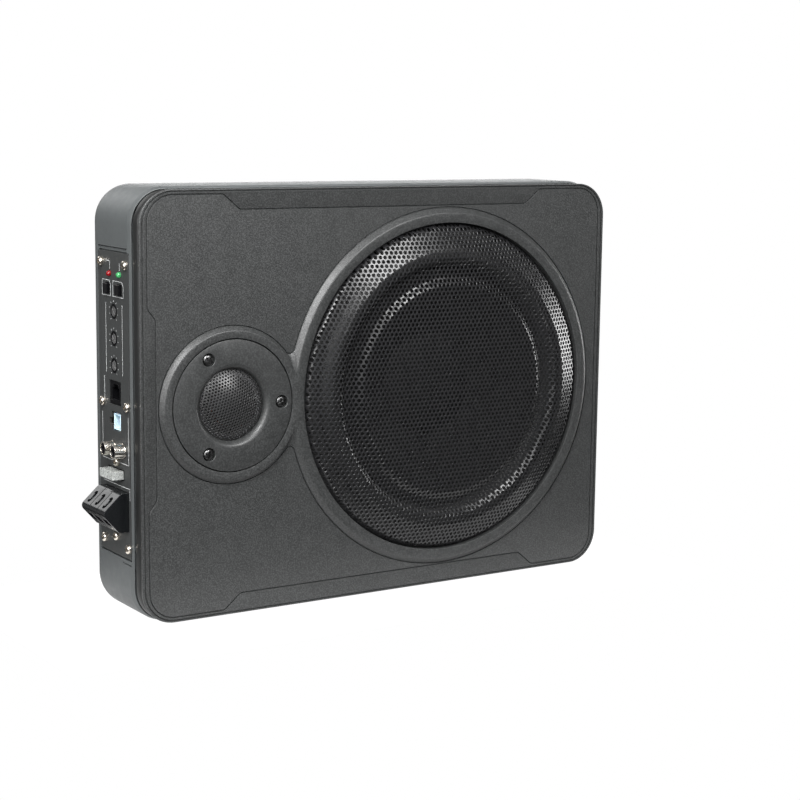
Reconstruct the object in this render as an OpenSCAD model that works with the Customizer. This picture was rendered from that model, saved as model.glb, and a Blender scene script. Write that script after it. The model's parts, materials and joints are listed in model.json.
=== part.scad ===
// Powered car subwoofer: a slim enclosure that goes under a seat, with a shallow
// eight-inch class woofer, a small dome tweeter, a built-in amplifier and a control
// panel on its left end.
// Frame: +Z up, the grille faces -Y, +X is to the right seen from the front.
// Origin: middle of the bottom face that the enclosure stands on. Millimetres.

/* [Enclosure] */
// Width of the enclosure, left to right
box_w = 340; // [336:1:350]
// Height of the enclosure
box_h = 258; // [256:1:270]
// Depth from the front cover's face to the rear face
box_d = 70; // [70:1:76]
// Radius of the four corners, seen from the front
corner_r = 22; // [18:1:26]
// Radius of the rounded rear edge
rear_edge_r = 14; // [10:1:15]
// Wall thickness of the case and the cover
wall = 3; // [2.5:0.5:3]
// Depth of the front cover's side
cover_d = 7; // [7:0.5:8]

/* [Woofer] */
// Distance of the woofer's axis from the middle of the enclosure, to the right
woofer_x = 43; // [40:1:45]
// Radius of the opening in the cover's raised woofer ring
woofer_open_r = 104.7; // [104:0.1:105.5]
// How far the raised rings stand proud of the cover
ring_h = 3; // [2:0.5:4]
// Radius of the woofer ring at its foot
woofer_ring_r = 114.2; // [113:0.1:116]
// Largest travel of the cone, each way
cone_travel = 4; // [2:0.5:4]
// Voice coil radius
coil_r = 25; // [24.5:0.1:25.3]

/* [Tweeter] */
// Distance of the tweeter's axis from the middle of the enclosure, to the left
tweeter_x = -110; // [-112:1:-108]
// Radius of the tweeter's bezel
bezel_r = 39.6; // [38:0.1:40]
// Radius of the tweeter ring at its foot
tweeter_ring_r = 47.7; // [46:0.1:49]
// Radius of the three bezel screws' pitch circle
bezel_screw_r = 32.5; // [31:0.5:33]

/* [Control panel] */
// Length of the panel, up and down
panel_h = 180.5; // [178:0.5:184]
// Width of the panel, front to back
panel_w = 42.3; // [42:0.1:43]
// Distance between the rotary controls
control_pitch = 16.1; // [15.5:0.1:16.5]
// Outer radius of the RCA jacks
rca_r = 4.15; // [4.1:0.05:4.2]
// How far the RCA jacks stand proud of the panel
rca_len = 7; // [6:0.5:8]
// Width of each way of the power terminal block
way_w = 10.83; // [10.5:0.01:11]

/* [Hidden] */
$fn = 96;
face_y = -box_d / 2;
rear_y = box_d / 2;
split_y = face_y + cover_d;
mid_z = box_h / 2;
left_x = -box_w / 2;
cover_inset = 1.2;
ring_slope = 3.2;
pilot_r = 1.45;
rim_w = 8;
gasket_w = 2.5;
gasket_t = 2;

// Places along Y of the woofer's parts, from the cover's face back
seat_y = face_y + 5;
flange_t = 1.5;
flange_y = seat_y - flange_t;
lip_y = flange_y - flange_t;
woofer_screw_r = 100;
landing_y = face_y + 30.3;
basket_back_y = face_y + 40.5;
plate_t = 6;
magnet_t = 10;
magnet_y = basket_back_y + plate_t;
yoke_y = magnet_y + magnet_t;

// Heights along Y of the tweeter's parts
bezel_y = face_y + 1;
tweeter_plate_y = bezel_y + 0.6;
tweeter_cup_y = tweeter_plate_y + 2;
tweeter_back_y = tweeter_cup_y + 17.4;
tweeter_magnet_y = face_y + 7;

// Control panel and the boards behind it
panel_t = 2;
panel_y0 = face_y + 12.7;
panel_y1 = panel_y0 + panel_w;
panel_z0 = mid_z - 90;
panel_z1 = panel_z0 + panel_h;
panel_back = left_x + panel_t;
board_t = 1.6;
panel_board_x = left_x + 18;
amp_board_y = rear_y - 13;
heat_sink_l = 28;
pivot_y = face_y + 33.5;
control_z = mid_z + 23.3;
rca_z = mid_z - 26;
rca_ys = [face_y + 22, face_y + 36];
led_ys = [face_y + 38.5, face_y + 24.5];
led_z = mid_z + 77.5;
button_ys = [face_y + 41.5, face_y + 25.1];
button_z = mid_z + 68.7;
button_w = 6.2;
rotor_r = 2.8;
fuse_y = face_y + 32.05;
fuse_z = mid_z - 40.8;
fuse_w = 19.1;
fuse_t = 5;
remote_y = face_y + 32.75;
remote_z = mid_z + 7.25;
remote_w = 16.1;
remote_h = 14.1;
level_in_y = face_y + 31.5;
level_in_z = mid_z - 10;
block_y0 = face_y + 15;
block_l = 3 * way_w;
way_ys = [for (i = [0:2]) block_y0 + (i + 0.5) * way_w];
block_z0 = mid_z - 73.5;
block_z1 = mid_z - 50;
nose = [left_x - 16, mid_z - 61];
block_top = [left_x - 5.5, mid_z - 50.5];
block_low = [left_x - 6.5, mid_z - 73];
panel_screw_yz = [
    [face_y + 50, mid_z + 84], [face_y + 16, mid_z + 83.7],
    [face_y + 49.5, mid_z + 0.5], [face_y + 15, mid_z + 1],
    [face_y + 48.5, mid_z - 82.6], [face_y + 14.5, mid_z - 83.6],
    [face_y + 31.5, mid_z - 78.7]];
low_boss = panel_screw_yz[6];
rca_screw_yz = [face_y + 30, mid_z - 33.4];

// Screws that close the case from behind, and the bracket holes on the rear face
tower_xz = concat(
    [for (x = [-1, 1], z = [-1, 1]) [x * (box_w / 2 - 26), mid_z + z * (mid_z - 26)]],
    [for (z = [-1, 1]) [-42, mid_z + z * (mid_z - 22)]]);
tower_end_y = face_y + 15;
tower_seat_y = tower_end_y + 8;
standoff_xz = [for (x = [left_x + 27, left_x + 134], z = [-1, 1]) [x, mid_z + z * 83]];
bracket_x = box_w / 2 - 48;
bracket_z = mid_z - 28;
bracket_pitch = 14;
bracket_hole_r = 1.65;
bracket_hole_d = 9;

// ---- Shapes that repeat ----

// A block from its lowest to its highest corner
module block(lo, hi) translate(lo) cube(hi - lo);

// A flat outline stood up in XZ, with its back at y and thickness t towards the front
module stand(y, t) translate([0, y, 0]) rotate([90, 0, 0]) linear_extrude(t) children();

// A turned piece about a front-to-back axis, drawn as (radius, y)
module turned(x, z) translate([x, 0, z]) rotate([-90, 0, 0]) rotate_extrude() children();

// A turned piece about a left-to-right axis, drawn as (radius, x)
module turned_x(y, z) translate([0, y, z]) rotate([0, 90, 0]) rotate_extrude() children();

// Round rods along Y and along X
module rod_y(x, z, y0, y1, r) translate([x, y0, z]) rotate([-90, 0, 0]) cylinder(h = y1 - y0, r = r);
module rod_x(y, z, x0, x1, r) translate([x0, y, z]) rotate([0, 90, 0]) cylinder(h = x1 - x0, r = r);

// The enclosure's outline from the front, made smaller all round by inset
module outline(inset) {
    w = box_w / 2 - inset;
    h = mid_z - inset;
    r = corner_r - inset;
    translate([0, mid_z]) {
        square([2 * w, 2 * (h - r)], center = true);
        square([2 * (w - r), 2 * h], center = true);
        for (x = [-1, 1], z = [-1, 1]) translate([x * (w - r), z * (h - r)]) circle(r);
    }
}

// The outline's band between two insets, with its back at y and thickness t
module outline_band(y, t, outer, inner) {
    stand(y, t) difference() {
        outline(outer);
        outline(inner);
    }
}

// Half section of the case's depth: rounded at the back, square at the front
module edge_section(reach, y0, y1, r) {
    intersection() {
        union() {
            translate([0, y0]) square([reach, y1 - r - y0]);
            translate([0, y0]) square([reach - r, y1 - y0]);
            translate([reach - r, y1 - r]) circle(r);
        }
        translate([0, y0]) square([reach, y1 - y0]);
    }
}

// The case as a full solid with a rounded rear edge, from y0 back, made smaller by inset
module case_solid(inset, y0) {
    w = box_w / 2 - inset;
    h = mid_z - inset;
    r = corner_r - inset;
    y1 = rear_y - inset;
    edge_r = rear_edge_r - inset;
    for (x = [-1, 1], z = [-1, 1])
        turned(x * (w - r), mid_z + z * (h - r)) edge_section(r, y0, y1, edge_r);
    for (side = [0, 1]) mirror([side, 0, 0])
        translate([0, 0, mid_z - h + r]) linear_extrude(2 * (h - r))
            edge_section(w, y0, y1, edge_r);
    for (side = [-1, 1])
        translate([-(w - r), 0, mid_z]) rotate([90, 0, 90]) mirror([0, side < 0 ? 1 : 0, 0])
            linear_extrude(2 * (w - r)) rotate(90) mirror([0, 1, 0]) edge_section(h, y0, y1, edge_r);
}

// A pan head screw along +Z: the head is below z = 0 and the shank above it
module pan_screw(head_r, head_h, shank_r, shank_l) {
    recess_l = head_r * 1.1;
    recess_w = head_r * 0.26;
    difference() {
        union() {
            cylinder(h = shank_l, r = shank_r);
            translate([0, 0, -head_h * 0.6]) cylinder(h = head_h * 0.6, r = head_r);
            intersection() {
                translate([0, 0, head_r * 1.45 - head_h]) sphere(head_r * 1.45);
                translate([0, 0, -head_h]) cylinder(h = head_h, r = head_r);
            }
        }
        for (a = [0, 90]) rotate(a) translate([-recess_l / 2, -recess_w / 2, -head_h - 1])
            cube([recess_l, recess_w, 1 + head_h * 0.6]);
    }
}
module screw_back(x, z, y, head_r, head_h, shank_r, shank_l)
    translate([x, y, z]) rotate([-90, 0, 0]) pan_screw(head_r, head_h, shank_r, shank_l);
module screw_front(x, z, y, head_r, head_h, shank_r, shank_l)
    translate([x, y, z]) rotate([90, 0, 0]) pan_screw(head_r, head_h, shank_r, shank_l);
module screw_right(yz, x, head_r, head_h, shank_r, shank_l)
    translate([x, yz[0], yz[1]]) rotate([0, 90, 0]) pan_screw(head_r, head_h, shank_r, shank_l);

// An insulated wire that leaves start along X and bends round to reach end along +Y, both (x, y)
module elbow_wire(start, end, z, r, bend) {
    way = sign(end[0] - start[0]);
    turn_x = end[0] - way * bend;
    turn_y = start[1] + bend;
    rod_x(start[1], z, min(start[0], turn_x), max(start[0], turn_x), r);
    translate([turn_x, turn_y, z]) rotate(way > 0 ? 270 : 180)
        rotate_extrude(angle = 90) translate([bend, 0]) circle(r);
    rod_y(end[0], z, turn_y, end[1], r);
}

// ---- Enclosure ----

module screw_tower(xz) rod_y(xz[0], xz[1], tower_end_y, rear_y - wall, 6);

module bracket_positions()
    for (x = [-1, 1], z = [-1, 1], s = [-0.5, 0.5])
        translate([x * bracket_x + s * bracket_pitch, 0, mid_z + z * bracket_z]) children();

module panel_boss(yz) rod_x(yz[0], yz[1], panel_back, left_x + 9, 3.6);

module rear_case() color([0.26, 0.27, 0.28]) {
    frame_x = left_x + 5;
    difference() {
        union() {
            difference() {
                case_solid(0, split_y);
                case_solid(wall, split_y - 1);
            }
            outline_band(split_y + wall, wall, 1, rim_w);
            block([left_x + 1, panel_y0 - 3, panel_z0 - 6], [frame_x, panel_y1 + 3, panel_z1 + 6]);
            for (xz = tower_xz) screw_tower(xz);
            for (xz = standoff_xz) rod_y(xz[0], xz[1], amp_board_y + board_t, rear_y - 1, 4);
            bracket_positions() rod_y(0, 0, rear_y - 11, rear_y - 1, 4.5);
        }
        block([left_x - 1, panel_y0 - 0.2, panel_z0 - 0.2], [panel_back, panel_y1 + 0.2, panel_z1 + 0.2]);
        difference() {
            block([left_x - 1, panel_y0 + 2, panel_z0 + 4], [left_x + 12, panel_y1 - 3, panel_z1 - 4]);
            for (yz = panel_screw_yz) panel_boss(yz);
            block([panel_back, low_boss[0] - 2, panel_z0], [left_x + 5, low_boss[0] + 2, low_boss[1]]);
        }
        for (yz = panel_screw_yz) rod_x(yz[0], yz[1], left_x - 1, left_x + 10, pilot_r);
        for (xz = tower_xz) {
            rod_y(xz[0], xz[1], tower_seat_y, rear_y + 1, 3.6);
            rod_y(xz[0], xz[1], tower_end_y - 1, rear_y, 1.7);
        }
        for (xz = standoff_xz) rod_y(xz[0], xz[1], amp_board_y, amp_board_y + 8, pilot_r);
        bracket_positions() rod_y(0, 0, rear_y - bracket_hole_d, rear_y + 1, bracket_hole_r);
    }
}

// A raised ring on the cover's face, as a full disc with a sloping edge
module raised_ring(x, base_r, top_r)
    turned(x, mid_z) polygon([
        [0, face_y + 1], [base_r, face_y + 1], [base_r, face_y],
        [top_r, face_y - ring_h], [0, face_y - ring_h]]);

module bezel_screw_positions()
    for (a = [0, 120, 240])
        translate([tweeter_x + bezel_screw_r * cos(a), 0, mid_z + bezel_screw_r * sin(a)]) children();

module front_cover() color([0.2, 0.21, 0.21]) {
    plate_y = face_y + wall;
    tweeter_open_r = bezel_r + 0.6;
    difference() {
        union() {
            stand(plate_y, wall) outline(cover_inset);
            outline_band(split_y, cover_d, cover_inset, cover_inset + wall);
            outline_band(split_y - gasket_t, 2.5, cover_inset + wall - 0.5, cover_inset + wall + gasket_w);
            raised_ring(woofer_x, woofer_ring_r, woofer_ring_r - ring_slope);
            raised_ring(tweeter_x, tweeter_ring_r, tweeter_ring_r - ring_slope);
            rod_y(woofer_x, mid_z, face_y + 1, seat_y + wall, woofer_open_r + wall);
            rod_y(tweeter_x, mid_z, face_y + 1, bezel_y + wall, tweeter_open_r + wall);
            bezel_screw_positions() rod_y(0, 0, bezel_y, bezel_y + 8, 4);
            for (xz = tower_xz) rod_y(xz[0], xz[1], face_y + 1, tower_end_y, 5);
        }
        rod_y(woofer_x, mid_z, face_y - 10, seat_y, woofer_open_r);
        rod_y(woofer_x, mid_z, face_y, seat_y + 10, 90);
        rod_y(tweeter_x, mid_z, face_y - 10, bezel_y, tweeter_open_r);
        difference() {
            rod_y(tweeter_x, mid_z, face_y, bezel_y + 10, 30);
            bezel_screw_positions() rod_y(0, 0, bezel_y, bezel_y + 8, 4);
        }
        woofer_screw_positions() rod_y(0, 0, seat_y - 1, seat_y + wall + 1, pilot_r);
        bezel_screw_positions() rod_y(0, 0, face_y, bezel_y + 7, 1.5);
        for (xz = tower_xz) rod_y(xz[0], xz[1], face_y + wall, tower_end_y + 1, pilot_r);
    }
}

module cover_gasket() color([0.05, 0.05, 0.05])
    outline_band(split_y, gasket_t, cover_inset + wall, cover_inset + wall + gasket_w);

module cover_screws() color([0.1, 0.1, 0.1])
    for (xz = tower_xz) screw_front(xz[0], xz[1], tower_seat_y, 3.2, 2.4, 1.4, 19);

// ---- Woofer ----

// The pressed grille: a lip under the cover's opening, a domed rim, a round groove and a flat middle
module woofer_grille() color([0.07, 0.07, 0.075])
    turned(woofer_x, mid_z) polygon([
        [woofer_open_r - 0.5, lip_y], [woofer_open_r - 0.5, lip_y - 1], [102.3, lip_y - 1.4],
        [99.5, face_y - 3.2], [96, face_y - 6], [92, face_y - 7.8], [88, face_y - 8.7],
        [81.5, face_y - 9], [78.5, face_y - 7], [74, face_y - 6],
        [69.5, face_y - 7], [66.5, face_y - 9], [0, face_y - 9],
        [0, face_y - 8], [66, face_y - 8], [69, face_y - 6], [74, face_y - 5], [79, face_y - 6],
        [82, face_y - 8], [87.7, face_y - 7.7], [91.6, face_y - 6.8], [95.2, face_y - 5.2],
        [98.6, face_y - 2.5], [101, lip_y]]);

module woofer_screw_positions()
    for (a = [22.5:45:337.5])
        translate([woofer_x + woofer_screw_r * cos(a), 0, mid_z + woofer_screw_r * sin(a)]) children();

module woofer_gasket() color([0.05, 0.05, 0.05])
    difference() {
        turned(woofer_x, mid_z) polygon([
            [93.3, lip_y], [woofer_open_r - 0.7, lip_y], [woofer_open_r - 0.7, flange_y], [93.3, flange_y]]);
        woofer_screw_positions() rod_y(0, 0, lip_y - 1, flange_y + 1, 3.3);
    }

module woofer_screws() color([0.1, 0.1, 0.1])
    woofer_screw_positions() screw_back(0, 0, flange_y, 3, 1.4, 1.4, 4.4);

module woofer_basket() color([0.09, 0.09, 0.09])
    difference() {
        turned(woofer_x, mid_z) polygon([
            [103.8, flange_y], [103.8, seat_y], [89.2, seat_y], [61.5, landing_y + flange_t],
            [52, landing_y + flange_t], [52, basket_back_y], [coil_r + 1.5, basket_back_y],
            [coil_r + 1.5, basket_back_y - flange_t], [50.5, basket_back_y - flange_t],
            [50.5, landing_y], [60.9, landing_y], [88.6, flange_y]]);
        woofer_screw_positions() rod_y(0, 0, flange_y - 1, seat_y + 1, 1.5);
        for (a = [30:60:330]) translate([woofer_x, 0, mid_z]) rotate([0, a, 0])
            rod_y(74, 0, face_y + 1, face_y + 39, 8.5);
    }

module woofer_surround() color([0.04, 0.04, 0.04]) {
    roll_r = 8.5;
    roll_mid = [83.75, flange_y + 3];
    sheet = 0.8;
    turned(woofer_x, mid_z) {
        translate([89, flange_y - sheet]) square([4, sheet]);
        intersection() {
            translate(roll_mid) difference() {
                circle(roll_r);
                circle(roll_r - sheet);
            }
            translate([roll_mid[0] - roll_r, flange_y - 0.5 - roll_r]) square([2 * roll_r, roll_r]);
        }
    }
}

module woofer_spider() color([0.75, 0.6, 0.3])
    turned(woofer_x, mid_z) polygon([
        [coil_r + 0.1, landing_y - 0.8], [32, landing_y - 2.2], [37, landing_y - 0.2],
        [42, landing_y - 2.2], [47, landing_y - 0.2], [52, landing_y - 0.8], [60, landing_y - 0.8],
        [60, landing_y], [50.2, landing_y], [47, landing_y + 0.6], [42, landing_y - 1.4],
        [37, landing_y + 0.6], [32, landing_y - 1.4], [coil_r + 0.1, landing_y]]);

module woofer_cone() color([0.06, 0.06, 0.06])
    turned(woofer_x, mid_z) polygon([
        [75.6, face_y + 2.4], [75.6, face_y + 3.3],
        [coil_r + 0.05, face_y + 25.9], [coil_r + 0.05, face_y + 25]]);

module dust_cap() color([0.05, 0.05, 0.05]) {
    cap_r = 65;
    turned(woofer_x, mid_z) intersection() {
        translate([0, face_y + 12.4 + cap_r]) difference() {
            circle(cap_r, $fn = 200);
            circle(cap_r - 0.8, $fn = 200);
        }
        translate([0, face_y + 5]) square([40, 16.2]);
    }
}

module voice_coil_former() color([0.7, 0.6, 0.4])
    turned(woofer_x, mid_z) translate([coil_r - 0.5, face_y + 24]) square([0.55, 26.5]);

module voice_coil_winding() color([0.7, 0.35, 0.15])
    turned(woofer_x, mid_z) translate([coil_r + 0.05, basket_back_y - 2]) square([0.7, 10]);

module woofer_top_plate() color([0.6, 0.6, 0.62])
    turned(woofer_x, mid_z) translate([coil_r + 1.2, basket_back_y]) square([50 - coil_r - 1.2, plate_t]);

module woofer_magnet() color([0.15, 0.15, 0.16])
    turned(woofer_x, mid_z) translate([32, magnet_y]) square([23, magnet_t]);

module woofer_yoke() color([0.6, 0.6, 0.62]) {
    pole_r = coil_r - 1.1;
    vent_r = 6;
    turned(woofer_x, mid_z) polygon([
        [vent_r, basket_back_y], [pole_r, basket_back_y], [pole_r, yoke_y], [50, yoke_y],
        [50, yoke_y + plate_t - 0.5], [vent_r, yoke_y + plate_t - 0.5]]);
}

terminal_x = woofer_x - 60.5;
strip_y = landing_y + flange_t;
tag_dz = 5;

module woofer_terminal() color([0.55, 0.4, 0.2]) {
    block([terminal_x, strip_y, mid_z - 9], [terminal_x + 7, strip_y + board_t, mid_z + 9]);
    for (s = [-1, 1])
        block([terminal_x + 1, strip_y + board_t, mid_z + s * tag_dz - 1.5],
            [terminal_x + 1.8, strip_y + 8, mid_z + s * tag_dz + 1.5]);
}

woofer_header_x = -40;
header_y = amp_board_y - 8.4;

module woofer_leads() color([0.6, 0.05, 0.05])
    for (s = [-1, 1])
        elbow_wire([terminal_x + 1, strip_y + 6.7], [woofer_header_x + 3.5, header_y],
            mid_z + s * tag_dz, 1.1, 6);

// ---- Tweeter ----

module tweeter_bezel() color([0.17, 0.18, 0.18])
    difference() {
        turned(tweeter_x, mid_z) polygon([
            [21.6, bezel_y], [bezel_r, bezel_y], [bezel_r, face_y - ring_h + 0.4],
            [bezel_r - 0.4, face_y - ring_h], [23.8, face_y - ring_h], [21.6, face_y - ring_h + 2]]);
        bezel_screw_positions() {
            rod_y(0, 0, face_y - ring_h - 1, face_y - 1, 4.1);
            rod_y(0, 0, face_y - ring_h, bezel_y + 1, 1.8);
        }
    }

module tweeter_screws() color([0.08, 0.08, 0.08])
    bezel_screw_positions() screw_back(0, 0, face_y - 1, 3.25, 2, 1.45, 8);

module tweeter_grille() color([0.07, 0.07, 0.075]) {
    dome_r = 40;
    turned(tweeter_x, mid_z) {
        intersection() {
            translate([0, face_y - 5.2 + dome_r]) difference() {
                circle(dome_r, $fn = 200);
                circle(dome_r - 0.6, $fn = 200);
            }
            translate([0, face_y - 6]) square([21.4, 6 + bezel_y - face_y]);
        }
        translate([20.2, bezel_y - 0.4]) square([1.2, 1]);
        translate([20.2, bezel_y]) square([3.8, 0.6]);
    }
}

module tweeter_plate() color([0.6, 0.6, 0.62])
    turned(tweeter_x, mid_z) translate([13.4, tweeter_plate_y]) square([14.6, 2]);

module tweeter_yoke() color([0.55, 0.55, 0.57])
    turned(tweeter_x, mid_z) polygon([
        [0, tweeter_back_y], [18, tweeter_back_y], [18, tweeter_cup_y],
        [14.5, tweeter_cup_y], [14.5, tweeter_back_y - 3], [0, tweeter_back_y - 3]]);

module tweeter_magnet() color([0.75, 0.75, 0.77])
    rod_y(tweeter_x, mid_z, tweeter_magnet_y, tweeter_back_y - 3, 11);

module tweeter_pole() color([0.6, 0.6, 0.62])
    rod_y(tweeter_x, mid_z, tweeter_magnet_y - 4.4, tweeter_magnet_y, 11.8);

module tweeter_dome() color([0.1, 0.1, 0.11]) {
    cap_r = 27.5;
    turned(tweeter_x, mid_z) intersection() {
        translate([0, face_y - 2.4 + cap_r]) difference() {
            circle(cap_r, $fn = 160);
            circle(cap_r - 0.3, $fn = 160);
        }
        translate([0, face_y - 3]) square([12.5, 3.6]);
    }
}

module tweeter_coil() color([0.7, 0.35, 0.15])
    turned(tweeter_x, mid_z) translate([0, face_y]) polygon([
        [12.15, 0.6], [12.5, 0.6], [12.5, 2.4], [12.95, 2.4], [12.95, 5],
        [12.5, 5], [12.5, 6], [12.15, 6]]);

module tweeter_surround() color([0.08, 0.08, 0.09])
    turned(tweeter_x, mid_z) translate([13.1, tweeter_plate_y - 0.4]) square([4.4, 0.4]);

tweeter_header_x = -83;

module tweeter_leads() color([0.6, 0.05, 0.05])
    for (s = [-1, 1])
        elbow_wire([tweeter_x + 18.05, tweeter_cup_y + 8], [tweeter_header_x, header_y],
            mid_z + s * 2.2, 0.8, 6);

// ---- Boards and the parts that stand on them ----

module panel_board() color([0.05, 0.25, 0.12])
    block([panel_board_x, face_y + 15, panel_z0 + 5], [panel_board_x + board_t, face_y + 52, panel_z1 - 5]);

module amplifier_board() color([0.05, 0.25, 0.12])
    difference() {
        block([left_x + 21, amp_board_y, mid_z - 89], [left_x + 140, amp_board_y + board_t, mid_z + 89]);
        for (xz = standoff_xz) rod_y(xz[0], xz[1], amp_board_y - 1, amp_board_y + 3, 1.7);
    }

module board_screws() color([0.7, 0.7, 0.7])
    for (xz = standoff_xz) screw_back(xz[0], xz[1], amp_board_y, 2.8, 2, 1.4, 8);

module board_headers() color([0.85, 0.85, 0.8]) {
    block([woofer_header_x, header_y, mid_z - 9], [woofer_header_x + 7, amp_board_y, mid_z + 9]);
    block([tweeter_header_x - 3, header_y, mid_z - 6], [tweeter_header_x + 3, amp_board_y, mid_z + 6]);
    block([panel_board_x + board_t, amp_board_y - 8, mid_z - 30], [left_x + 27, amp_board_y, mid_z + 20]);
}

module heat_sink() color([0.7, 0.7, 0.72]) {
    block([left_x + 38, amp_board_y - heat_sink_l, mid_z + 58], [left_x + 124, amp_board_y, mid_z + 62]);
    for (i = [0:10])
        translate([left_x + 38 + 8.4 * i, amp_board_y - heat_sink_l, mid_z + 62])
            cube([2, heat_sink_l, 16]);
}

module power_transistors() color([0.06, 0.06, 0.06])
    for (i = [0:3]) translate([left_x + 44 + 20 * i, amp_board_y - 22, mid_z + 53.5]) {
        cube([10, 15, 4.5]);
        for (j = [0:2]) translate([1.6 + 2.6 * j, 15, 1.8]) cube([0.9, 7, 0.9]);
    }

module power_toroid() color([0.65, 0.35, 0.12])
    turned(left_x + 62, mid_z - 52) translate([14, amp_board_y - 7]) circle(7);

module supply_capacitors() color([0.08, 0.08, 0.1])
    for (z = [-72, -46]) rod_y(left_x + 104, mid_z + z, amp_board_y - 30, amp_board_y, 11);

module crossover_capacitor() color([0.1, 0.1, 0.12])
    translate([left_x + 50, amp_board_y - 5, mid_z + 10]) cylinder(h = 22, r = 5);

// ---- What the control panel holds ----

module square_hole(y, z, w, h, x0, x1)
    block([x0, y - w / 2, z - h / 2], [x1, y + w / 2, z + h / 2]);

module control_panel() color([0.35, 0.36, 0.37]) {
    x0 = left_x - 1;
    x1 = panel_back + 1;
    difference() {
        block([left_x, panel_y0, panel_z0], [panel_back, panel_y1, panel_z1]);
        for (y = led_ys) rod_x(y, led_z, x0, x1, 1.9);
        for (y = button_ys) square_hole(y, button_z, button_w + 0.5, button_w + 0.5, x0, x1);
        for (i = [0:2]) rod_x(pivot_y, control_z + i * control_pitch, x0, x1, 4.6);
        square_hole(remote_y, remote_z, remote_w + 0.4, remote_h + 0.4, x0, x1);
        square_hole(level_in_y, level_in_z + 0.35, 13, 11.3, x0, x1);
        square_hole(level_in_y + 8, level_in_z, 4, 4, x0, x1);
        for (y = rca_ys) rod_x(y, rca_z, x0, x1, rca_r + 0.1);
        square_hole(fuse_y + 0.35, fuse_z, 22.5, 7, x0, x1);
        block([x0, block_y0 - 0.2, block_z0 - 0.2], [x1, block_y0 + block_l + 0.2, block_z1 + 0.2]);
        for (yz = panel_screw_yz) rod_x(yz[0], yz[1], x0, x1, 1.7);
        rod_x(rca_screw_yz[0], rca_screw_yz[1], x0, x1, 1.7);
    }
}

module panel_screws() color([0.8, 0.78, 0.75]) {
    for (yz = panel_screw_yz) screw_right(yz, left_x, 3, 2.4, 1.4, 8.5);
    screw_right(rca_screw_yz, left_x, 2.8, 2.4, 1.4, 8.5);
}

module led(y) {
    rod_x(y, led_z, left_x - 0.4, panel_board_x, 1.75);
    translate([left_x - 0.4, y, led_z]) sphere(1.75);
}
module protect_led() color([0.8, 0.05, 0.05]) led(led_ys[0]);
module power_led() color([0.1, 0.8, 0.3]) led(led_ys[1]);

module push_button(y) {
    square_hole(y, button_z, button_w, button_w, left_x - 2, left_x + 3.5);
    square_hole(y, button_z, 3, 3, left_x + 3.5, left_x + 8.5);
}
module auto_on_button() color([0.05, 0.05, 0.05]) push_button(button_ys[0]);
module phase_button() color([0.05, 0.05, 0.05]) push_button(button_ys[1]);

module switch_bodies() color([0.12, 0.12, 0.12])
    for (y = button_ys) difference() {
        square_hole(y, button_z, 8, 8, left_x + 7, panel_board_x);
        square_hole(y, button_z, 3.4, 3.4, left_x + 6, left_x + 11);
    }

module pot_bodies() color([0.06, 0.06, 0.06])
    for (i = [0:2]) difference() {
        union() {
            rod_x(pivot_y, control_z + i * control_pitch, left_x, left_x + 5, 4.5);
            square_hole(pivot_y, control_z + i * control_pitch, 10, 10, left_x + 4, panel_board_x);
        }
        rod_x(pivot_y, control_z + i * control_pitch, left_x - 1, left_x + 9, rotor_r + 0.05);
    }

module rotor(i) {
    slot_w = 0.9;
    slot_d = 1.3;
    difference() {
        rod_x(pivot_y, control_z + i * control_pitch, left_x, left_x + 9, rotor_r);
        translate([left_x - 1, pivot_y, control_z + i * control_pitch]) rotate([45, 0, 0])
            translate([0, -rotor_r - 1, -slot_w / 2]) cube([1 + slot_d, 2 * rotor_r + 2, slot_w]);
    }
}
module low_pass_rotor() color([0.45, 0.45, 0.45]) rotor(2);
module bass_boost_rotor() color([0.45, 0.45, 0.45]) rotor(1);
module level_rotor() color([0.45, 0.45, 0.45]) rotor(0);

// Six-way telephone style socket for the wired remote, with its latch slot on top
module remote_socket() color([0.04, 0.04, 0.04])
    difference() {
        square_hole(remote_y, remote_z, remote_w, remote_h, left_x + 0.5, panel_board_x);
        square_hole(remote_y, remote_z - 0.5, 9.9, 7, left_x, left_x + 12.5);
        square_hole(remote_y, remote_z + 3.8, 6.2, 2.2, left_x, left_x + 12.5);
    }

module high_level_socket() color([0.8, 0.86, 0.9])
    difference() {
        square_hole(level_in_y, level_in_z, 8.8, 9.8, left_x + 0.5, panel_board_x);
        square_hole(level_in_y, level_in_z, 7.2, 8.2, left_x, left_x + 9);
    }

module rca_shells() color([0.85, 0.84, 0.8])
    for (y = rca_ys) turned_x(y, rca_z) polygon([
        [rca_r - 0.8, left_x - rca_len], [rca_r, left_x - rca_len], [rca_r, left_x - 0.8],
        [rca_r + 0.5, left_x - 0.8], [rca_r + 0.5, left_x], [rca_r, left_x], [rca_r, panel_back],
        [rca_r - 0.8, panel_back]]);

module rca_block() color([0.05, 0.05, 0.05]) {
    contact_r = 1.6;
    difference() {
        union() {
            block([panel_back, rca_ys[0] - 6, rca_z - 11], [panel_board_x, rca_ys[1] + 6, rca_z + 6]);
            for (y = rca_ys) rod_x(y, rca_z, left_x - rca_len + 0.5, panel_back + 1, rca_r - 0.8);
        }
        for (y = rca_ys) rod_x(y, rca_z, left_x - rca_len - 1, left_x + 3, contact_r);
        rod_x(rca_screw_yz[0], rca_screw_yz[1], left_x, left_x + 9, pilot_r);
    }
}

module fuse_holder() color([0.07, 0.07, 0.07])
    difference() {
        square_hole(fuse_y, fuse_z, fuse_w + 2.6, fuse_t + 1.6, left_x, panel_board_x);
        square_hole(fuse_y, fuse_z, fuse_w + 0.4, fuse_t + 0.4, left_x - 1, left_x + 4);
        for (s = [-1, 1])
            square_hole(fuse_y + s * 5.5, fuse_z, 5.6, 1.2, left_x + 3, left_x + 15.5);
    }

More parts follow.
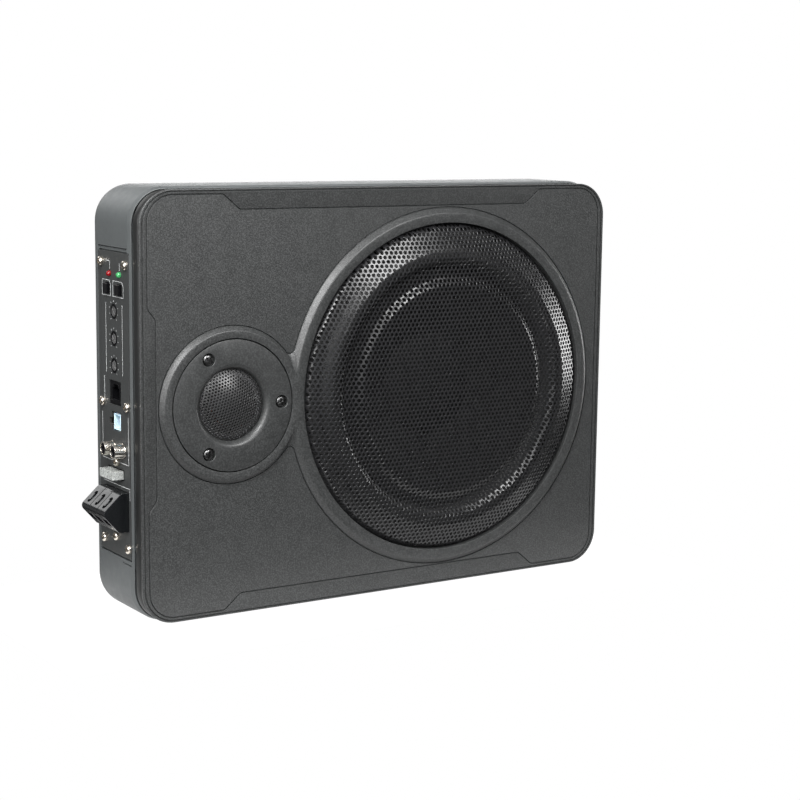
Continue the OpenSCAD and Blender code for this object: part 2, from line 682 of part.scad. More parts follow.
module blade_fuse() color([0.85, 0.86, 0.84]) {
    square_hole(fuse_y, fuse_z, fuse_w, fuse_t, left_x - 6.8, left_x + 3.8);
    for (s = [-1, 1])
        square_hole(fuse_y + s * 5.5, fuse_z, 5.2, 0.7, left_x + 3.8, left_x + 15);
}

// Directions of the block's two sloping faces, as turns about Y from straight up
upper_turn = -45;
lower_turn = atan2(nose[1] - block_low[1], block_low[0] - nose[0]) - 180;
upper_mid = (nose + block_top) / 2;
lower_mid = (nose + block_low) / 2;
terminal_bore_r = 2.1;
terminal_depth = 4.8;
wire_entry_r = 2.4;
wire_entry_l = 8;

// Moves to the middle of way i on a sloping face and turns +Z out of the face
module on_face(i, mid, turn)
    translate([mid[0], way_ys[i], mid[1]]) rotate([0, turn, 0]) children();

module power_terminal_block() color([0.05, 0.05, 0.05])
    difference() {
        translate([0, block_y0 + block_l, 0]) rotate([90, 0, 0]) linear_extrude(block_l) polygon([
            [panel_board_x, block_z0 + 0.1], [block_low[0] + 1, block_z0 + 0.1], block_low, nose,
            block_top, [block_top[0] + 1, block_z1], [panel_board_x, block_z1]]);
        for (i = [1, 2])
            block([nose[0] - 1, block_y0 + i * way_w - 0.4, block_z0 - 1],
                [nose[0] + 1.4, block_y0 + i * way_w + 0.4, block_z1 + 1]);
        for (i = [0:2]) {
            on_face(i, upper_mid, upper_turn) {
                translate([2, 0, -terminal_depth]) cylinder(h = terminal_depth + 1, r = terminal_bore_r);
                translate([-2.6, 0, -terminal_depth]) cylinder(h = terminal_depth + 1, r = 1.5);
                translate([-2.6, -0.9, -terminal_depth]) cube([4, 1.8, terminal_depth + 1]);
            }
            on_face(i, lower_mid, lower_turn)
                translate([0, 0, -wire_entry_l]) cylinder(h = wire_entry_l + 1, r = wire_entry_r);
        }
    }

module terminal_screw(i) color([0.75, 0.74, 0.7])
    on_face(i, upper_mid, upper_turn) translate([2, 0, -terminal_depth]) difference() {
        cylinder(h = 3, r = terminal_bore_r - 0.1);
        translate([-3, -0.4, 2.1]) cube([6, 0.8, 1]);
    }
module terminal_screw_1() terminal_screw(0);
module terminal_screw_2() terminal_screw(1);
module terminal_screw_3() terminal_screw(2);

rear_case();
front_cover();
cover_gasket();
cover_screws();
control_panel();
panel_screws();
woofer_grille();
woofer_gasket();
woofer_screws();
woofer_basket();
woofer_surround();
woofer_spider();
woofer_cone();
dust_cap();
voice_coil_former();
voice_coil_winding();
woofer_top_plate();
woofer_magnet();
woofer_yoke();
woofer_terminal();
woofer_leads();
tweeter_bezel();
tweeter_screws();
tweeter_grille();
tweeter_plate();
tweeter_yoke();
tweeter_magnet();
tweeter_pole();
tweeter_dome();
tweeter_coil();
tweeter_surround();
tweeter_leads();
panel_board();
amplifier_board();
board_screws();
board_headers();
heat_sink();
power_transistors();
power_toroid();
supply_capacitors();
crossover_capacitor();
protect_led();
power_led();
auto_on_button();
phase_button();
switch_bodies();
pot_bodies();
low_pass_rotor();
bass_boost_rotor();
level_rotor();
remote_socket();
high_level_socket();
rca_shells();
rca_block();
fuse_holder();
blade_fuse();
power_terminal_block();
terminal_screw_1();
terminal_screw_2();
terminal_screw_3();
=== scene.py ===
import json
import math

import bmesh
import bpy
from mathutils import Matrix, Vector
from mathutils.geometry import delaunay_2d_cdt

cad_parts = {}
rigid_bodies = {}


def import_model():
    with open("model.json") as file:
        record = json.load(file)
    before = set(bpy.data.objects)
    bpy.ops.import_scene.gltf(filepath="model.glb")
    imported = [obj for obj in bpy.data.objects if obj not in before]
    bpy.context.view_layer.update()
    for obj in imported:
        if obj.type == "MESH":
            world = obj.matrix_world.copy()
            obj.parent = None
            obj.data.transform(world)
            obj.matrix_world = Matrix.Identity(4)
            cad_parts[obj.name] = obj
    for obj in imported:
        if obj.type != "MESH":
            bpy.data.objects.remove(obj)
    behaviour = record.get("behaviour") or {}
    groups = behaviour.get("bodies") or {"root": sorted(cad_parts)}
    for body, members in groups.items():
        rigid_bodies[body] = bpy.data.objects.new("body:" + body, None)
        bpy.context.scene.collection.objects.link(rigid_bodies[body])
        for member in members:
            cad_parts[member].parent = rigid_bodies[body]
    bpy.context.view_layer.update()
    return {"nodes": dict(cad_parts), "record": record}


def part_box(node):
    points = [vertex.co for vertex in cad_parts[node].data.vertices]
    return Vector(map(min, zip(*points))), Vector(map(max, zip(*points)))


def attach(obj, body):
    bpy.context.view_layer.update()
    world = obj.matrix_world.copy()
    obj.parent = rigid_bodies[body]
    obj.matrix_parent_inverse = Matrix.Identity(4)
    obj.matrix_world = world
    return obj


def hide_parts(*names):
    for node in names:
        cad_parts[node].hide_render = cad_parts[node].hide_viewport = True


for default in list(bpy.data.objects):
    bpy.data.objects.remove(default)
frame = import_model()

MM = 0.001


def box_mm(node):
    """Lowest and highest corner of a CAD node, in millimetres."""
    low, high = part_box(node)
    return low / MM, high / MM


# ---- Driving dimensions, most of them read from the CAD frame ----

case_low, case_high = box_mm("rear_case")
grille_low, grille_high = box_mm("woofer_grille")
bezel_low, bezel_high = box_mm("tweeter_bezel")
panel_low, panel_high = box_mm("control_panel")

HALF_W = case_high.x
HEIGHT = case_high.z
MID_Z = HEIGHT / 2
CORNER_R = 22
REAR_EDGE_R = 14
WALL = 3
WOOFER_X = (grille_low.x + grille_high.x) / 2
WOOFER_OPEN_R = 104.7
TWEETER_X = (bezel_low.x + bezel_high.x) / 2
BEZEL_R = (bezel_high.x - bezel_low.x) / 2
TWEETER_OPEN_R = BEZEL_R + 0.6

# From front to back: tops of the rings, the cover's face, where the painted shade on its side begins, the
# seat of the woofer, the front of the case, its lip at the parting line, and its back
RING_Y = bezel_low.y
FACE_Y = RING_Y + 3
PAINTED_SHADE_Y = FACE_Y + 1.6
SEAT_Y = FACE_Y + 5
SPLIT_Y = case_low.y
CASE_RIM_Y = SPLIT_Y + 3.3
REAR_Y = case_high.y


# ---- Outlines in the XZ plane, anticlockwise, as lists of (x, z) ----

def outline(corners, inset=0.0, steps=10):
    """A closed outline with rounded corners given as (x, z, radius), moved inward by inset."""
    points = [Vector((x, z)) for x, z, _ in corners]
    count = len(points)
    along = [(points[(i + 1) % count] - points[i]).normalized() for i in range(count)]
    loop = []
    for i in range(count):
        before, after = along[i - 1], along[i]
        cross = before.x * after.y - before.y * after.x
        side = math.copysign(1, cross)
        turn = math.atan2(cross, before.dot(after))
        normal_before = Vector((-before.y, before.x))
        normal_after = Vector((-after.y, after.x))
        shift = (normal_before + normal_after) / (1 + before.dot(after))
        radius = corners[i][2] - side * inset
        centre = points[i] + shift * (inset + side * radius)
        spoke = -normal_before * side * radius
        for k in range(steps + 1):
            a = turn * k / steps
            loop.append((centre.x + spoke.x * math.cos(a) - spoke.y * math.sin(a),
                         centre.y + spoke.x * math.sin(a) + spoke.y * math.cos(a)))
    return loop


def rectangle(x0, z0, x1, z1, radius):
    return [(x0, z0, radius), (x1, z0, radius), (x1, z1, radius), (x0, z1, radius)]


def arc(cx, cz, radius, start, end, steps):
    return [(cx + radius * math.cos(start + (end - start) * k / steps),
             cz + radius * math.sin(start + (end - start) * k / steps)) for k in range(steps)]


def circle(cx, cz, radius, steps, start=0.0):
    return arc(cx, cz, radius, start, start + 2 * math.pi, steps)


def joined_rings(woofer_r, tweeter_r, fillet):
    """The outline of the two raised rings run together, with rounded inside corners."""
    apart = WOOFER_X - TWEETER_X
    reach_w, reach_t = woofer_r + fillet, tweeter_r + fillet
    along = (reach_t ** 2 - reach_w ** 2 + apart ** 2) / (2 * apart)
    rise = math.sqrt(reach_t ** 2 - along ** 2)
    at_w, at_t = math.atan2(rise, along - apart), math.atan2(rise, along)
    x = TWEETER_X + along
    woofer_steps, tweeter_steps, fillet_steps = 160, 80, 10
    return (arc(WOOFER_X, MID_Z, woofer_r, -at_w, at_w, woofer_steps)
            + arc(x, MID_Z + rise, fillet, at_w + math.pi, at_t + math.pi, fillet_steps)
            + arc(TWEETER_X, MID_Z, tweeter_r, at_t, 2 * math.pi - at_t, tweeter_steps)
            + arc(x, MID_Z - rise, fillet, -at_t - math.pi, -at_w - math.pi, fillet_steps))


# ---- Shell: a closed mesh gathered from loops ----

class Shell:
    def __init__(self):
        self.bm = bmesh.new()

    def loop(self, points, y):
        """A ring of vertices at height y, or at y(x, z)."""
        return [self.bm.verts.new((x * MM, (y(x, z) if callable(y) else y) * MM, z * MM)) for x, z in points]

    def bridge(self, a, b):
        """Quads between two loops with the same number of points."""
        for i in range(len(a)):
            j = (i + 1) % len(a)
            self.bm.faces.new((a[i], a[j], b[j], b[i]))

    def chain(self, *loops):
        for a, b in zip(loops, loops[1:]):
            self.bridge(a, b)

    def sweep(self, corners, profile, steps):
        """The outline swept through a profile of (inset, y). Returns the loops."""
        loops = [self.loop(outline(corners, inset, steps), y) for inset, y in profile]
        self.chain(*loops)
        return loops

    def turn(self, cx, cz, profile, steps):
        """A lathe piece about a front-to-back axis, with a profile of (radius, y). Returns the loops."""
        loops = [self.loop(circle(cx, cz, r, steps), y) for r, y in profile]
        self.chain(*loops)
        return loops

    def fill(self, outer, *holes):
        """Triangles over the region inside outer and outside each hole, on the loops' own vertices."""
        verts, faces = [], []
        for loop in (outer,) + holes:
            faces.append(list(range(len(verts), len(verts) + len(loop))))
            verts += loop
        flat = [Vector((v.co.x, v.co.z)) for v in verts]
        inside_with_holes = 2
        same_point = 1e-9
        _, _, triangles, origin, _, _ = delaunay_2d_cdt(flat, [], faces, inside_with_holes, same_point)
        for triangle in triangles:
            self.bm.faces.new([verts[origin[k][0]] for k in triangle])

    def piece(self, name, material, sharp=30.0):
        """The finished object, smooth except along edges sharper than the angle."""
        bmesh.ops.remove_doubles(self.bm, verts=self.bm.verts, dist=1e-7)
        bmesh.ops.recalc_face_normals(self.bm, faces=self.bm.faces)
        mesh = bpy.data.meshes.new(name)
        self.bm.to_mesh(mesh)
        self.bm.free()
        obj = bpy.data.objects.new(name, mesh)
        bpy.context.scene.collection.objects.link(obj)
        for face in mesh.polygons:
            face.use_smooth = True
        mesh.set_sharp_from_angle(angle=math.radians(sharp))
        if material:
            mesh.materials.append(material)
        return obj


def stands_for(obj, body, slot, *nodes):
    """Hands a piece to a body, in place of CAD nodes if any are named; slot is not used."""
    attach(obj, body)
    if nodes:
        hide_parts(*nodes)


def combine(obj, operation, tools):
    """Adds or cuts closed pieces, exactly, and removes them afterwards."""
    for tool in tools:
        change = obj.modifiers.new(operation, "BOOLEAN")
        change.operation = operation
        change.solver = "EXACT"
        change.object = tool
    bpy.context.view_layer.update()
    result = bpy.data.meshes.new_from_object(obj.evaluated_get(bpy.context.evaluated_depsgraph_get()))
    obj.modifiers.clear()
    obj.data = result
    for tool in tools:
        bpy.data.objects.remove(tool)


def tool_block(low, high):
    bm = bmesh.new()
    bmesh.ops.create_cube(bm, size=1.0)
    for v in bm.verts:
        v.co = Vector([(low[i] + (high[i] - low[i]) * (v.co[i] + 0.5)) * MM for i in range(3)])
    return loose_object("tool", bm)


def loose_object(name, bm):
    mesh = bpy.data.meshes.new(name)
    bm.to_mesh(mesh)
    bm.free()
    obj = bpy.data.objects.new(name, mesh)
    bpy.context.scene.collection.objects.link(obj)
    return obj


def tool_rod(axis, a, b, start, end, radius, steps=32):
    """A closed rod along "x" or "y". a and b are its other two coordinates."""
    bm = bmesh.new()
    rings = []
    for along in (start, end):
        rings.append([bm.verts.new(Vector((u, along, v) if axis == "y" else (along, u, v)) * MM)
                      for u, v in circle(a, b, radius, steps)])
    for k in range(steps):
        bm.faces.new((rings[0][k], rings[0][(k + 1) % steps], rings[1][(k + 1) % steps], rings[1][k]))
    for ring in rings:
        bm.faces.new(ring)
    bmesh.ops.recalc_face_normals(bm, faces=bm.faces)
    return loose_object("tool", bm)


# ---- Materials ----

NOISE_SCALE = 1000.0
WAVE_SCALE = 31.4


class Surface:
    """A material under construction: a Principled shader and the nodes that feed it."""

    def __init__(self, name, colour, roughness, **uniform):
        self.mat = bpy.data.materials.new(name)
        self.mat.use_nodes = True
        self.nodes, self.links = self.mat.node_tree.nodes, self.mat.node_tree.links
        self.shader = self.nodes["Principled BSDF"]
        self.position = self.nodes.new("ShaderNodeTexCoord").outputs["Object"]
        self.height = None
        self.colour, self.roughness = colour, roughness
        self.shader.inputs["Base Color"].default_value = (*colour, 1)
        self.shader.inputs["Roughness"].default_value = roughness
        for socket, value in uniform.items():
            self.shader.inputs[socket.replace("_", " ")].default_value = value

    def stretched(self, scale):
        node = self.nodes.new("ShaderNodeMapping")
        node.inputs["Scale"].default_value = scale
        self.links.new(self.position, node.inputs["Vector"])
        return node.outputs["Vector"]

    def noise(self, size_mm, detail=2.0, rough=0.5, scale=None):
        """A noise whose bumps are about size_mm across."""
        node = self.nodes.new("ShaderNodeTexNoise")
        node.inputs["Scale"].default_value = NOISE_SCALE / size_mm
        node.inputs["Detail"].default_value = detail
        node.inputs["Roughness"].default_value = rough
        self.links.new(self.stretched(scale) if scale else self.position, node.inputs["Vector"])
        return node.outputs["Fac"]

    def cells(self, size_mm, feature="F1"):
        node = self.nodes.new("ShaderNodeTexVoronoi")
        node.feature = feature
        node.inputs["Scale"].default_value = NOISE_SCALE / size_mm
        self.links.new(self.position, node.inputs["Vector"])
        return node.outputs["Distance"]

    def waves(self, direction, pitch_mm, distortion=0.0):
        """Parallel ridges, pitch_mm apart."""
        node = self.nodes.new("ShaderNodeTexWave")
        node.bands_direction = direction
        node.inputs["Scale"].default_value = WAVE_SCALE / pitch_mm
        node.inputs["Distortion"].default_value = distortion
        self.links.new(self.position, node.inputs["Vector"])
        return node.outputs["Fac"]

    def remap(self, value, low, high, to_low, to_high):
        node = self.nodes.new("ShaderNodeMapRange")
        for socket, number in zip(("From Min", "From Max", "To Min", "To Max"), (low, high, to_low, to_high)):
            node.inputs[socket].default_value = number
        self.links.new(value, node.inputs["Value"])
        return node.outputs["Result"]

    def tint(self, factor, colour):
        """Mixes colour over what the base colour is so far."""
        mix = self.nodes.new("ShaderNodeMix")
        mix.data_type = "RGBA"
        base = self.shader.inputs["Base Color"]
        if base.links:
            self.links.new(base.links[0].from_socket, mix.inputs["A"])
        else:
            mix.inputs["A"].default_value = base.default_value
        mix.inputs["B"].default_value = (*colour, 1)
        self.links.new(factor, mix.inputs["Factor"])
        self.links.new(mix.outputs["Result"], base)
        return self

    def mottle(self, size_mm, amount):
        """Lighter and darker patches of the base colour."""
        patches = self.noise(size_mm, 3.0)
        shades = [tuple(c * (1 + s * amount) for c in self.colour) for s in (-1, 1)]
        self.tint(self.remap(patches, 0.3, 0.5, 1, 0), shades[0])
        return self.tint(self.remap(patches, 0.5, 0.7, 0, 1), shades[1])

    def uneven(self, size_mm, amount, scale=None):
        """Roughness that varies by amount around its value."""
        value = self.remap(self.noise(size_mm, 3.0, 0.6, scale), 0.3, 0.7,
                           self.roughness - amount, self.roughness + amount)
        self.links.new(value, self.shader.inputs["Roughness"])
        return self

    def bump(self, value, depth_mm):
        """Adds a height map, depth_mm deep from 0 to 1."""
        node = self.nodes.new("ShaderNodeBump")
        node.inputs["Distance"].default_value = depth_mm * MM
        self.links.new(value, node.inputs["Height"])
        if self.height:
            self.links.new(self.height, node.inputs["Normal"])
        self.height = node.outputs["Normal"]
        self.links.new(self.height, self.shader.inputs["Normal"])
        return self

    def behind(self, y_mm):
        """0 in front of the plane at this y, 1 behind it."""
        soft_mm = 0.4
        axes = self.nodes.new("ShaderNodeSeparateXYZ")
        self.links.new(self.position, axes.inputs["Vector"])
        return self.remap(axes.outputs["Y"], y_mm * MM, (y_mm + soft_mm) * MM, 0, 1)

    def painted_edge_highlight(self, radius_mm, colour):
        """Painted highlight: edges lightened towards colour, found by how far a rounded normal leans from the
        true one.
        """
        rounded = self.nodes.new("ShaderNodeBevel")
        rounded.samples = 4
        rounded.inputs["Radius"].default_value = radius_mm * MM
        true = self.nodes.new("ShaderNodeNewGeometry")
        lean = self.nodes.new("ShaderNodeVectorMath")
        lean.operation = "DOT_PRODUCT"
        self.links.new(rounded.outputs["Normal"], lean.inputs[0])
        self.links.new(true.outputs["Normal"], lean.inputs[1])
        return self.tint(self.remap(lean.outputs["Value"], 0.99, 0.75, 0, 0.6), colour)


def moulded(name, colour, roughness, grain_mm, grain_depth, speckle=0.3, edge=None, side=None,
            **uniform):
    """Moulded plastic with a fine texture from the tool. Where side is given, painted shade darkens the part
    behind PAINTED_SHADE_Y towards it, standing in for the shadow in the cove.
    """
    s = Surface(name, colour, roughness, **uniform)
    s.mottle(35, 0.05)
    grain = s.noise(grain_mm, 2.0)
    s.tint(s.remap(grain, 0.38, 0.5, 0.9, 0), tuple(c * (1 - 0.55 * speckle) for c in colour))
    s.tint(s.remap(grain, 0.5, 0.64, 0, 0.9), tuple(c * (1 + 1.2 * speckle) for c in colour))
    s.uneven(9, 0.05)
    s.bump(s.noise(grain_mm, 3.0, 0.6), grain_depth)
    # painted shade: the cove on the side lies in shadow, so it is darkened here
    if side:
        s.tint(s.behind(PAINTED_SHADE_Y), side)
    # painted highlight along the edges
    if edge:
        s.painted_edge_highlight(0.35, edge)
    return s.mat


def painted(name, colour, roughness, peel_mm=1.6, peel_depth=0.02, edge=None, **uniform):
    """Sprayed paint: a faint orange peel, with fine dust in the film."""
    s = Surface(name, colour, roughness, **uniform)
    s.mottle(50, 0.06)
    s.tint(s.remap(s.noise(0.5, 1.0), 0.66, 0.74, 0, 0.4), tuple(c * 1.5 for c in colour))
    s.uneven(6, 0.06)
    s.bump(s.noise(peel_mm, 2.0), peel_depth)
    s.bump(s.noise(0.35, 2.0), peel_depth * 0.5)
    # painted highlight along the edges
    if edge:
        s.painted_edge_highlight(0.3, edge)
    return s.mat


def plated(name, colour, roughness):
    """Plated or bare metal with fine scratches one way."""
    scratch = (1, 1, 14)
    s = Surface(name, colour, roughness, Metallic=1.0)
    s.mottle(4, 0.08)
    s.uneven(1.4, roughness * 0.45, scale=scratch)
    s.bump(s.noise(0.5, 3.0, 0.6, scale=scratch), 0.006)
    return s.mat


def woven(name, colour, thread_mm, roughness=0.9):
    """Plain-woven cloth: crossed waves as threads."""
    s = Surface(name, colour, roughness)
    s.mottle(12, 0.15)
    weave = s.nodes.new("ShaderNodeMath")
    weave.operation = "MULTIPLY"
    s.links.new(s.waves("X", thread_mm, 0.6), weave.inputs[0])
    s.links.new(s.waves("Z", thread_mm, 0.6), weave.inputs[1])
    # painted shade: darker in the gaps between the threads
    s.tint(s.remap(weave.outputs["Value"], 0, 0.3, 0.5, 0), tuple(c * 0.4 for c in colour))
    s.uneven(3, 0.05)
    s.bump(weave.outputs["Value"], 0.15)
    return s.mat


def pitted(name, colour, roughness, size_mm, depth):
    """Foam, ferrite and rubber: rounded pits between raised walls."""
    s = Surface(name, colour, roughness)
    s.mottle(8, 0.15)
    s.uneven(3, 0.05)
    s.bump(s.cells(size_mm), depth)
    s.bump(s.noise(size_mm * 0.5, 3.0), depth * 0.4)
    return s.mat


def clear(name, colour, roughness, transmission):
    """Transparent moulded plastic, cloudy in places."""
    s = Surface(name, colour, roughness, Transmission_Weight=transmission, IOR=1.5)
    s.mottle(3, 0.12)
    s.uneven(2, roughness * 0.5)
    s.bump(s.noise(0.9, 2.0), 0.02)
    return s.mat


def wound(name, colour, wire_mm, direction):
    """Enamelled wire laid side by side."""
    s = Surface(name, colour, 0.3, Metallic=1.0, Coat_Weight=0.5)
    turns = s.waves(direction, wire_mm)
    # painted shade: darker in the grooves between the turns of wire
    s.tint(s.remap(turns, 0, 0.25, 0.8, 0), tuple(c * 0.25 for c in colour))
    s.uneven(2, 0.08)
    s.bump(turns, 0.2)
    return s.mat


def board(name, colour):
    """Solder mask over tracks."""
    s = Surface(name, colour, 0.35, Coat_Weight=0.3)
    s.mottle(20, 0.1)
    tracks = s.remap(s.cells(4.5, "DISTANCE_TO_EDGE"), 0.06, 0.09, 1, 0)
    s.tint(tracks, tuple(c * 1.7 for c in colour))
    s.uneven(4, 0.05)
    s.bump(tracks, 0.03)
    return s.mat


# The edge colours below are painted highlights along the edges.
MATERIALS = {
    "case_paint": painted("case_paint", (0.056, 0.061, 0.062), 0.5, edge=(0.11, 0.115, 0.115)),
    # side: painted shade for the shadowed cove on the cover's side
    "cover_plastic": moulded("cover_plastic", (0.0235, 0.0243, 0.0243), 0.43, 0.85, 0.075, 0.65,
                             edge=(0.06, 0.065, 0.065), side=(0.008, 0.0083, 0.0083),
                             Specular_IOR_Level=0.45),
    "bezel_plastic": moulded("bezel_plastic", (0.0225, 0.0233, 0.0233), 0.42, 0.8, 0.05, 0.5,
                             edge=(0.06, 0.065, 0.065), Specular_IOR_Level=0.45),
    "panel_paint": painted("panel_paint", (0.025, 0.0265, 0.0265), 0.5, peel_mm=0.8),
    "foam": pitted("foam", (0.012, 0.012, 0.012), 0.95, 0.8, 0.25),
    "surround_rubber": pitted("surround_rubber", (0.007, 0.007, 0.007), 0.6, 1.2, 0.03),
    "ferrite": pitted("ferrite", (0.03, 0.03, 0.032), 0.7, 0.6, 0.05),
    "grille_steel": painted("grille_steel", (0.011, 0.011, 0.0118), 0.3, peel_mm=0.9, peel_depth=0.02,
                            Specular_IOR_Level=0.42),
    "tweeter_steel": painted("tweeter_steel", (0.017, 0.017, 0.0172), 0.36, peel_mm=0.9, peel_depth=0.02),
    "basket_steel": painted("basket_steel", (0.008, 0.008, 0.008), 0.5),
    "black_screw": plated("black_screw", (0.1, 0.1, 0.1), 0.34),
    "bright_screw": plated("bright_screw", (0.74, 0.68, 0.6), 0.24),
    "nickel": plated("nickel", (0.56, 0.53, 0.48), 0.2),
    "motor_steel": plated("motor_steel", (0.5, 0.5, 0.52), 0.35),
    "neodymium": plated("neodymium", (0.6, 0.6, 0.62), 0.2),
    "heat_sink_aluminium": plated("heat_sink_aluminium", (0.6, 0.6, 0.62), 0.4),
    "spider_cloth": woven("spider_cloth", (0.45, 0.3, 0.12), 0.8),
    "former_paper": woven("former_paper", (0.45, 0.35, 0.2), 0.4),
    "silk": woven("silk", (0.004, 0.004, 0.005), 0.3, 0.8),
    "cone_paper": moulded("cone_paper", (0.005, 0.005, 0.005), 0.85, 1.5, 0.15, Specular_IOR_Level=0.2),
    "copper": wound("copper", (0.3, 0.11, 0.045), 0.5, "Y"),
    "circuit_board": board("circuit_board", (0.01, 0.09, 0.035)),
    "terminal_strip": moulded("terminal_strip", (0.3, 0.18, 0.07), 0.6, 0.5, 0.03),
    "lead_insulation": moulded("lead_insulation", (0.02, 0.02, 0.022), 0.45, 0.5, 0.02),
    "black_plastic": moulded("black_plastic", (0.003, 0.003, 0.0035), 0.3, 0.35, 0.008,
                             Specular_IOR_Level=0.06),
    "terminal_plastic": moulded("terminal_plastic", (0.004, 0.0045, 0.005), 0.24, 0.4, 0.006,
                                edge=(0.07, 0.07, 0.072)),
    "button_plastic": moulded("button_plastic", (0.003, 0.003, 0.0035), 0.16, 0.3, 0.004,
                              Specular_IOR_Level=0.08),
    "rotor_plastic": moulded("rotor_plastic", (0.05, 0.05, 0.05), 0.45, 0.3, 0.02, edge=(0.4, 0.4, 0.4)),
    "pale_plastic": moulded("pale_plastic", (0.5, 0.62, 0.7), 0.4, 0.4, 0.01, Subsurface_Weight=0.15),
    "capacitor_sleeve": moulded("capacitor_sleeve", (0.012, 0.012, 0.02), 0.25, 1.0, 0.02),
    "led_red": clear("led_red", (0.24, 0.003, 0.006), 0.1, 0.3),
    "led_green": clear("led_green", (0.05, 0.34, 0.11), 0.1, 0.3),
    "white_ink": painted("white_ink", (0.42, 0.43, 0.43), 0.5, peel_mm=0.4),
    "fuse_plastic": clear("fuse_plastic", (0.62, 0.64, 0.62), 0.3, 0.6),
}
SLOTS = {part["node"]: part["material_slot"] for part in frame["record"]["subparts"]}


# ---- Front cover ----

BOX = rectangle(-HALF_W, 0, HALF_W, HEIGHT, CORNER_R)
BOX_STEPS = 16

# The cover's edge from back to front, as inset and depth: a lip inside the case, a cove, a rounded front
COVER_EDGE = [(inset, FACE_Y + depth) for inset, depth in (
    (4.2, 9.1), (1.9, 9.1), (1.6, 8.8), (1.7, 5.5), (2.3, 4.0), (3.2, 3.1), (3.1, 2.4), (2.0, 1.9),
    (1.35, 1.4), (1.2, 0.8), (1.3, 0.25), (1.5, 0.05), (1.75, 0))]

# A border groove all round, and inside it a groove that steps inward along three sides
GROOVE_WIDTH, GROOVE_DEPTH = 0.95, 0.9
BORDER_X, BORDER_LOW = 166.8, 2.45
BORDER = rectangle(-BORDER_X, BORDER_LOW, BORDER_X, HEIGHT - BORDER_LOW, 19.4)
DECOR_X, DECOR_STEP_X = 164.0, 158.9
DECOR_LOW, DECOR_STEP = 4.3, 9.2
STEP_FROM, STEP_TO = 104, 115
LEFT_STEPS = (-DECOR_X, 59.1), (-DECOR_STEP_X, 52.7), (-DECOR_STEP_X, -53.3), (-DECOR_X, -59.7)


def decor_corners():
    top, top_step = HEIGHT - DECOR_LOW, HEIGHT - DECOR_LOW - DECOR_STEP
    low_step = DECOR_LOW + DECOR_STEP
    corner, bend, side_bend = 16.5, 5, 6
    lower = [(-DECOR_X, DECOR_LOW, corner), (-STEP_TO, DECOR_LOW, bend), (-STEP_FROM, low_step, bend),
             (STEP_FROM, low_step, bend), (STEP_TO, DECOR_LOW, bend), (DECOR_X, DECOR_LOW, corner)]
    upper = [(DECOR_X, top, corner), (STEP_TO, top, bend), (STEP_FROM, top_step, bend),
             (-STEP_FROM, top_step, bend), (-STEP_TO, top, bend), (-DECOR_X, top, corner)]
    left = [(x, MID_Z + z, side_bend) for x, z in LEFT_STEPS]
    return lower + upper + left


def groove(shell, corners, steps):
    """A groove along an outline, in the face. Returns its outer and inner edge loops."""
    half = GROOVE_WIDTH / 2
    soft = 0.1
    section = [(-half - soft, 0), (-half, soft * 0.4), (-half * 0.85, GROOVE_DEPTH),
               (half * 0.1, GROOVE_DEPTH), (half, soft * 1.5), (half + soft, 0)]
    loops = shell.sweep(corners, [(inset, FACE_Y + down) for inset, down in section], steps)
    return loops[0], loops[-1]


def raised_rings(shell):
    """The two rings run together: a fine V at the foot, the slope, and a small radius at the top.
    Each loop is the woofer's radius, the tweeter's, the fillet between them and the depth."""
    foot = [(114.8, 47.9, 2.9, 0), (114.74, 47.84, 2.96, 0.9), (114.12, 47.3, 3.5, 0.9),
            (114.05, 47.24, 3.55, 0.05)]
    slope = [(114.2 - 3.4 * share, 47.4 - 2.8 * share ** 1.3, 3.4 - 2.1 * share, -3 * share)
             for share in (0.12, 0.3, 0.5, 0.7, 0.86)]
    top = [(111.0, 44.9, 1.3, -2.8), (110.6, 44.4, 1.2, -2.95), (110.1, 43.9, 1.2, -3)]
    loops = [shell.loop(joined_rings(woofer_r, tweeter_r, fillet), FACE_Y + depth)
             for woofer_r, tweeter_r, fillet, depth in foot + slope + top]
    shell.chain(*loops)
    return loops[0], loops[-1]


def front_cover():
    shell = Shell()
    edge = shell.sweep(BOX, COVER_EDGE, BOX_STEPS)
    border_out, border_in = groove(shell, BORDER, 16)
    decor_out, decor_in = groove(shell, decor_corners(), 10)
    shell.fill(edge[-1], border_out)
    shell.fill(border_in, decor_out)
    ring_foot, ring_top = raised_rings(shell)
    shell.fill(decor_in, ring_foot)

    # The openings: rounded edge, wall, and the seat that the woofer or the bezel rests on
    woofer_seat_r, tweeter_seat_r = 90, 30
    back_y = FACE_Y + WALL
    woofer = shell.turn(WOOFER_X, MID_Z, [
        (WOOFER_OPEN_R + 0.5, RING_Y), (WOOFER_OPEN_R + 0.12, RING_Y + 0.15),
        (WOOFER_OPEN_R, RING_Y + 0.6), (WOOFER_OPEN_R, SEAT_Y), (woofer_seat_r, SEAT_Y),
        (woofer_seat_r, SEAT_Y + WALL), (WOOFER_OPEN_R + WALL, SEAT_Y + WALL),
        (WOOFER_OPEN_R + WALL, back_y)], 180)
    tweeter = shell.turn(TWEETER_X, MID_Z, [
        (TWEETER_OPEN_R + 0.2, RING_Y), (TWEETER_OPEN_R + 0.05, RING_Y + 0.05),
        (TWEETER_OPEN_R, RING_Y + 0.2), (TWEETER_OPEN_R, bezel_high.y), (tweeter_seat_r, bezel_high.y),
        (tweeter_seat_r, bezel_high.y + WALL), (TWEETER_OPEN_R + WALL, bezel_high.y + WALL),
        (TWEETER_OPEN_R + WALL, back_y)], 120)
    shell.fill(ring_top, woofer[0], tweeter[0])
    back = shell.loop(outline(BOX, COVER_EDGE[0][0], BOX_STEPS), back_y)
    shell.bridge(back, edge[0])
    shell.fill(back, woofer[-1], tweeter[-1])
    cover = shell.piece("cover_shell", MATERIALS["cover_plastic"], 32)
    stands_for(cover, "enclosure", "cover_plastic", "front_cover")


# ---- Rear case ----

